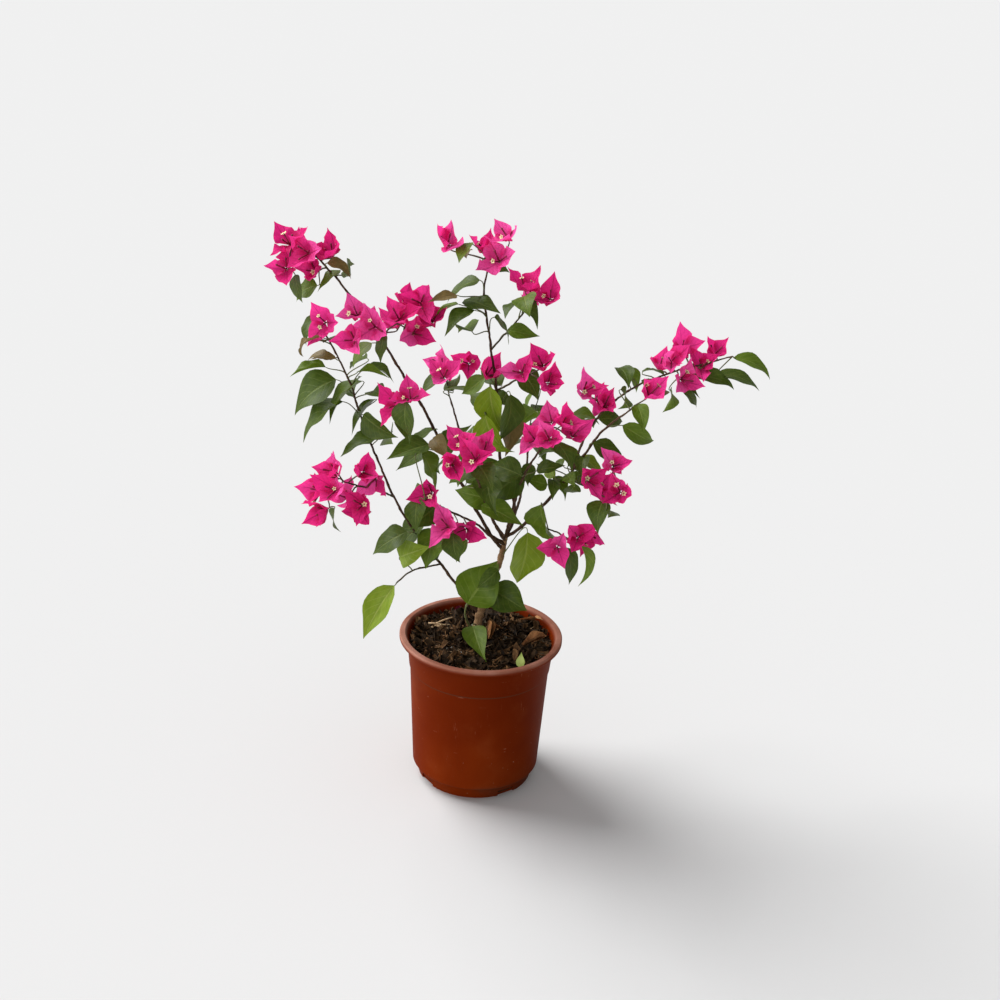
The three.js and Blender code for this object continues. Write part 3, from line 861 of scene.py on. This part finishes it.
def bent_blade(shape, base, way, facing, length, fold, arch, ripple, twist, draw, broad=1.0):
    """A blade folded along its midrib, arched to its tip, rippled at its edge and set in place."""
    spots, faces, flat = shape
    across, along = spots[:, 0] * broad, spots[:, 1]
    edge = np.abs(across)
    lift = edge * tan(fold)
    lift = lift + ripple * edge * np.sin(draw.uniform(9, 14) * along + draw.uniform(0, 6)
                                         + np.sign(across) * draw.uniform(0.5, 2))
    across = across * cos(fold)
    angle = arch * along
    steps = np.linspace(0, 1, BEND_STEPS + 1)
    run, fall = (np.interp(along, steps, np.append(0, np.cumsum(part(arch * steps[1:])) / BEND_STEPS))
                 for part in (np.cos, np.sin))
    y = run + lift * np.sin(angle)
    z = -fall + lift * np.cos(angle)
    turn = twist * along
    x = across * np.cos(turn) - 0.6 * z * np.sin(turn)
    side = np.cross(way, facing)
    placed = base + length * (np.outer(x, side) + np.outer(y, way) + np.outer(z, facing))
    return placed, faces, flat


def kept_inside(placed):
    """The copy, moved in where it goes past the solid model's box by more than a margin."""
    margin = 4 * MM
    low, high = np.array(cad_bounds)
    over = np.maximum(0, placed.max(0) - high - margin)
    under = np.maximum(0, low - margin - placed.min(0))
    return placed - over + under


def see_through(start, surface, tint, share):
    """Some of the light falls through a thin blade."""
    glow = start.node("BsdfTranslucent", None, {"Color": tint})
    skin = Wire(start.tree, surface.outputs[0])
    both = start.node("MixShader", None, {0: share, 1: skin, 2: glow})
    plug(both, start.tree.nodes["Material Output"], "Surface")


def blade_veins(start, ribs, slant):
    """A place's share of midrib and of side rib, its place along and off the middle, and itself."""
    flat = start.node("UVMap", {"uv_map": "OFBake"})
    along = flat.part(1)
    off_middle = start.node("Math", {"operation": "ABSOLUTE"}, {0: flat.part(0) - 0.5})
    midrib = 1 - off_middle.ramp(0.012, 0.04)
    wave = start.node("Math", {"operation": "SINE"}, {0: (along - off_middle * slant) * ribs})
    side_ribs = wave.ramp(0.86, 0.99) * (1 - off_middle.ramp(0.3, 0.5))
    return midrib, side_ribs, along, off_middle, flat


LEAF_OUTLINE = [(0, 0.01), (0.04, 0.10), (0.10, 0.19), (0.20, 0.275), (0.32, 0.305), (0.45, 0.29),
                (0.58, 0.235), (0.70, 0.16), (0.80, 0.095), (0.88, 0.05), (0.95, 0.02), (1, 0.002)]
LEAF_SHADES = {
    "dark": ((0.034, 0.062, 0.004), (0.064, 0.101, 0.009), (0.13, 0.17, 0.035)),
    "mid": ((0.064, 0.112, 0.005), (0.100, 0.156, 0.012), (0.19, 0.24, 0.05)),
    "lime": ((0.125, 0.190, 0.006), (0.180, 0.255, 0.014), (0.29, 0.35, 0.07)),
    "bronze": ((0.105, 0.075, 0.020), (0.160, 0.112, 0.034), (0.19, 0.13, 0.05)),
}
leaf_shape = blade_shape(LEAF_OUTLINE, 4, 12)
for tint, (dark, light, rib) in LEAF_SHADES.items():
    copies = []
    for base, way, facing, length, broad, set_arch, seed in leaf_spots[tint]:
        draw = np.random.default_rng(seed)
        fold, arch = draw.uniform(0.10, 0.50), draw.uniform(0.35, 1.35)
        placed, faces, flat = bent_blade(
            leaf_shape, base, way, facing, length, fold, set_arch or arch, draw.uniform(0.05, 0.16),
            draw.normal(0, 0.45), draw, broad * draw.uniform(0.88, 1.12))
        copies.append((kept_inside(placed), faces, flat))
    finish, start, surface = new_finish(tint + "_leaf", 0.4, 0.2)
    midrib, side_ribs, _, _, flat = blade_veins(start, 44, 0.62)
    mottle = start.noise(flat, 5, 4)
    skin = mottle.ramp(0.3, 0.7).blend(dark, light)
    skin = (side_ribs * 0.35).blend(skin, rib)
    skin = (midrib * 0.7).blend(skin, rib)
    dress(surface, skin, (midrib * -1.0 - side_ribs * 0.35 + mottle * 0.4).bump(0.5, 0.6 * MM))
    plug(0.36 + mottle * 0.14, surface, "Roughness")
    see_through(start, surface, [1.25 * part for part in light], 0.22)
    piece = join_copies("leaves_" + tint, copies, finish)
    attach(piece, "root")
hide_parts(*[cluster for cluster in CLUSTERS if cluster.startswith("leaves")])


# Old leaves have fallen on the compost and dried. They are brown, brittle and rolled along their
# length, and one green tip and one faded bract lie among them.
def litter_piece(name, lying, dark, light):
    """Fallen blades as (place, way, facing, length, broad, fold, arch, ripple, seed) in one piece."""
    copies = []
    for place, way, facing, length, broad, fold, arch, ripple, seed in lying:
        draw = np.random.default_rng(seed)
        way, facing = unit(way), unit(facing)
        facing = unit(facing - way * np.dot(facing, way))
        placed, faces, _ = bent_blade(leaf_shape, np.array(place) * MM, way, facing, length * MM, fold,
                                      arch, ripple, draw.normal(0, 0.5), draw, broad)
        copies.append((placed, faces, None))
    piece = join_copies(name, copies, grainy_finish(name + "_skin", dark, light, 0.7, 120))
    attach(piece, "root")


litter_piece("dry_brown_leaves", [
    ((68, -6, 167), (-0.85, -0.42, -0.16), (-0.45, -0.4, 0.9), 36, 0.6, 1.0, 0.4, 0.25, 1),
    ((54, -12, 162), (0.70, 0.45, 0.22), (0.1, -0.7, 0.7), 22, 0.6, 1.0, 0.5, 0.25, 2),
    ((58, 38, 161), (-0.8, -0.1, 0.15), (0, -0.5, 1), 20, 0.6, 1.1, 0.6, 0.2, 3),
    ((56, 44, 162), (0.55, -0.75, 0.10), (0.3, -0.5, 0.9), 20, 0.6, 0.7, -0.4, 0.2, 8),
], (0.150, 0.066, 0.026), (0.50, 0.255, 0.110))
litter_piece("dry_orange_leaf", [
    ((6, 12, 172), (0.10, -0.75, -0.55), (0.6, -0.4, 0.6), 28, 0.65, 1.1, 0.6, 0.2, 4),
    ((12, 14, 164), (0.7, -0.6, 0.1), (-0.3, -0.3, 0.8), 20, 0.6, 1.1, -0.5, 0.2, 5),
], (0.115, 0.046, 0.015), (0.36, 0.165, 0.062))
litter_piece("green_leaf_tip", [
    ((41, -58, 157), (0.05, 0.62, 0.60), (0, -0.7, 1), 17, 0.9, 0.1, 0.1, 0.0, 6),
], (0.22, 0.29, 0.06), (0.36, 0.44, 0.13))
litter_piece("faded_bract", [
    ((-30, 58, 159), (0.6, 0.3, 0.3), (0.2, -0.8, 0.6), 10, 1.0, 0.9, 0.4, 0.2, 7),
], (0.22, 0.02, 0.06), (0.34, 0.04, 0.10))

# A sprig of pale straw lies on the left of the compost.
for number in range(7):
    draw = np.random.default_rng(70 + number)
    angle = draw.uniform(-0.5, 0.9)
    first = np.array([-57 + 2 * number, 20 + draw.uniform(-6, 6), 159.5 + draw.uniform(-1, 2)]) * MM
    along = np.linspace(0, 1, 7)[:, None]
    reach = draw.uniform(9, 22) * MM
    line = first + reach * along * (cos(angle), sin(angle), 0.05)
    line = line + 4 * MM * np.sin(3 * along + draw.uniform(0, 3)) * (0.3, -0.5, 0.5)
    shoots.append((line, np.linspace(1.1, 0.5, 7) * MM, "straw"))
straw_piece = join_copies("straw_sprig", shoot_copies("straw", 5), grainy_finish(
    "straw_skin", (0.34, 0.22, 0.12), (0.60, 0.43, 0.26), 0.7, 220))
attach(straw_piece, "root")


# Each blossom is three papery magenta bracts set round the true flowers. A bract is a broad pointed
# leaf with raised darker veins, crinkled and slightly cupped, and open wide when it is full grown.
BRACT_OUTLINE = [(0, 0.04), (0.05, 0.22), (0.14, 0.345), (0.26, 0.415), (0.40, 0.41), (0.53, 0.35),
                 (0.66, 0.25), (0.78, 0.14), (0.88, 0.065), (0.95, 0.025), (1, 0.002)]
BRACT_LENGTH = 26.5 * MM
# Each shade gives the bract's colour at its base, darkened there as painted shade, its colour at the tip
# and edges, lightened there as painted light, and the colour of its veins.
BRACT_SHADES = (
    ("deep", (0.42, 0.005, 0.085), (0.74, 0.022, 0.215), (0.32, 0.002, 0.050)),
    ("bright", (0.52, 0.009, 0.125), (0.86, 0.045, 0.300), (0.38, 0.003, 0.075)),
    ("pale", (0.62, 0.018, 0.175), (0.94, 0.095, 0.400), (0.44, 0.006, 0.100)),
)
OPEN_SHARE = 0.24  # of the flowers
bract_shape = blade_shape(BRACT_OUTLINE, 6, 9)
bract_copies = [[], [], []]
flower_rods = []
star_spots = []
for number, (base, way, size, shade, turn) in enumerate(bloom_spots):
    draw = np.random.default_rng(9000 + number)
    side = unit(np.cross(way, (0.3, 0.2, 1.0)))
    over = np.cross(way, side)
    opened = draw.uniform(0.8, 1.22)
    for k in range(3):
        angle = turn + 2 * pi * k / 3 + draw.normal(0, 0.12)
        radial = cos(angle) * side + sin(angle) * over
        lean = opened + draw.normal(0, 0.12)
        blade_way = unit(cos(lean) * way + sin(lean) * radial)
        inner = unit(sin(lean) * way - cos(lean) * radial)
        placed, faces, flat = bent_blade(
            bract_shape, base + 1.2 * MM * radial, blade_way, inner,
            BRACT_LENGTH * size * draw.uniform(0.9, 1.08), draw.uniform(0.25, 0.6),
            draw.uniform(-1.05, 0.0), draw.uniform(0.18, 0.38), draw.normal(0, 0.35), draw)
        shown = int(np.clip(shade + (draw.random() < 0.2) - (draw.random() < 0.2), 0, 2))
        bract_copies[shown].append((kept_inside(placed), faces, flat))
        rod_lean = 0.55 + draw.normal(0, 0.12)
        rod_way = unit(cos(rod_lean) * way + sin(rod_lean) * radial)
        rod_length = draw.uniform(10.5, 14.5) * MM * size
        flower_rods.append((base, rod_way, rod_length))
        if draw.random() < OPEN_SHARE:
            star_spots.append((base + rod_way * rod_length, rod_way, draw.uniform(1.7, 2.5) * MM,
                               draw.uniform(0, 2 * pi)))
for (shade, dark, light, rib), copies in zip(BRACT_SHADES, bract_copies):
    finish, start, surface = new_finish(shade + "_magenta_bract", 0.6, 0.12)
    midrib, side_ribs, along, off_middle, flat = blade_veins(start, 36, 0.8)
    net = start.noise(flat, 14, 5, 0.6)
    # Painted shade darkens the bract towards its cupped base, and painted light brightens it towards the
    # tip and edges.
    paper = along.ramp(0.05, 0.6).blend(dark, light)
    paper = (off_middle.ramp(0.28, 0.5) * 0.4).blend(paper, light)
    for vein in (net.ramp(0.52, 0.62) * 0.3, side_ribs * 0.45, midrib * 0.85):
        paper = vein.blend(paper, rib)
    dress(surface, paper, (midrib + side_ribs * 0.6 + net * 0.7).bump(0.6, 0.7 * MM))
    plug(0.5 + net * 0.15, surface, "Roughness")
    see_through(start, surface, [min(1, 1.15 * part) for part in light], 0.4)
    piece = join_copies("bracts_" + shade, copies, finish)
    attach(piece, "root")
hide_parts(*[cluster for cluster in CLUSTERS if cluster.startswith("blossom")])


# The true flowers stand on the bracts: slender crimson tubes, pinched in the middle, some still
# closed and some open in a small ruffled cream star with a yellow-green throat.
def star_shape():
    """A five-pointed ruffled star of unit radius, dished towards its throat."""
    bpy.ops.mesh.primitive_circle_add(vertices=20, radius=1, fill_type="NGON")
    star = bpy.context.object
    edit_whole()
    bpy.ops.mesh.inset(thickness=0.35)
    bpy.ops.mesh.inset(thickness=0.35)
    bpy.ops.transform.translate(value=(0, 0, -0.25))
    change_to("OBJECT")
    for vertex in star.data.vertices:
        angle = atan2(vertex.co.y, vertex.co.x)
        reach = hypot(vertex.co.x, vertex.co.y)
        if reach > 0.5:
            lobes = 1 + 0.28 * cos(5 * angle) * reach
            vertex.co.x *= lobes
            vertex.co.y *= lobes
            vertex.co.z += 0.25 * cos(10 * angle) * reach
    return read_mesh(star)


def set_along(spots, base, way, turn, scale):
    side = unit(np.cross(way, (0.2, 0.5, 0.9)))
    over = np.cross(way, side)
    x = spots[:, 0] * cos(turn) - spots[:, 1] * sin(turn)
    y = spots[:, 0] * sin(turn) + spots[:, 1] * cos(turn)
    return base + scale * (np.outer(x, side) + np.outer(y, over) + np.outer(spots[:, 2], way))


# A tube of unit length, pinched in the middle and swollen at its mouth.
rod_spots, rod_faces = read_mesh(turned_shell("rod", 0.035, [
    (0.055, 0.12), (0.065, 0.35), (0.040, 0.5), (0.055, 0.75), (0.075, 0.92), (0.04, 1.0)], 6))
star_points, star_faces = star_shape()
tubes = join_copies("flower_tubes", [
    (set_along(rod_spots, base, way, 0, length), rod_faces, None) for base, way, length in flower_rods],
    stalk_finish("crimson_flower_tubes", (0.12, 0.003, 0.018), (0.24, 0.012, 0.04)))
star_finish, start, surface = new_finish("cream_star_flower", 0.6)
flat = start.node("UVMap", {"uv_map": "OFBake"})
from_throat = start.node("VectorMath", {"operation": "DISTANCE"}, {0: flat, 1: (0.5, 0.5, 0)}, 1)
ruffle = start.noise(flat, 9, 3)
petal = from_throat.ramp(0.08, 0.24).blend((0.60, 0.52, 0.17), (0.82, 0.70, 0.40))
petal = (ruffle.ramp(0.45, 0.65) * 0.4).blend(petal, (0.88, 0.80, 0.56))
dress(surface, petal, ruffle.bump(0.4, 0.5 * MM))
stars = join_copies("flower_stars", [
    (set_along(star_points, base, way, turn, radius), star_faces, 0.5 + 0.4 * star_points[:, :2])
    for base, way, radius, turn in star_spots], star_finish)
for piece in (tubes, stars):
    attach(piece, "root")


# The plant stands on a pale floor with no edge in sight, under soft light from the upper left.
bpy.ops.mesh.primitive_plane_add(size=60, location=(0, 0, 0))
floor = bpy.context.object
floor.name = "floor"
floor_finish, start, surface = new_finish("pale_floor", 0.95, 0.0)
surface.inputs["Base Color"].default_value = (0.80, 0.80, 0.80, 1)
floor.data.materials.append(floor_finish)

# The room's light is white, and the camera sees a wall of the floor's tone behind the plant.
sky = bpy.data.worlds.new("pale_room")
sky.use_nodes = True
room_light = sky.node_tree.nodes["Background"]
room_light.inputs["Color"].default_value = (1, 1, 1, 1)
room_light.inputs["Strength"].default_value = 0.37
start = Wire(sky.node_tree)
room = start.node("MixShader", None, {
    0: start.node("LightPath"), 1: Wire(start.tree, room_light.outputs[0]),
    2: start.node("Background", None, {"Color": (0.87, 0.87, 0.87)})})
plug(room, sky.node_tree.nodes["World Output"], "Surface")
bpy.context.scene.world = sky

# A wide window and a broad reflector light the plant, and the reflector leaves the floor alone.
for name, energy, spread, heading in (("soft_window", 3.25, 42, (0.93, -0.64, -1.10)),
                                      ("front_reflector", 4.0, 100, (0.93, 0.36, -0.25))):
    bpy.ops.object.light_add(type="SUN")
    lamp = bpy.context.object
    lamp.name = name
    tune(lamp.data, energy=energy, angle=radians(spread))
    lamp.rotation_euler = Vector(heading).to_track_quat("-Z", "Y").to_euler()
not_lit = bpy.data.collections.new("not lit by the reflector")
not_lit.objects.link(floor)
not_lit.collection_objects[0].light_linking.link_state = "EXCLUDE"
lamp.light_linking.receiver_collection = not_lit

tune(bpy.context.scene.view_settings, view_transform="Standard", look="None")

CAMERA_DISTANCE = 1.6
CAMERA_RISE = radians(28.1)
CAMERA_PITCH, CAMERA_ROLL, CAMERA_YAW = radians(-23.1), radians(3.1), radians(-0.5)
bpy.ops.object.camera_add(location=(
    0, -CAMERA_DISTANCE * cos(CAMERA_RISE), POT_HEIGHT + CAMERA_DISTANCE * sin(CAMERA_RISE)))
camera = bpy.context.object
camera.rotation_euler = (
    Matrix.Rotation(CAMERA_YAW, 3, "Z") @ Matrix.Rotation(pi / 2 + CAMERA_PITCH, 3, "X")
    @ Matrix.Rotation(CAMERA_ROLL, 3, "Z")).to_euler()
tune(camera.data, sensor_width=36, lens=54.9)
bpy.context.scene.camera = camera
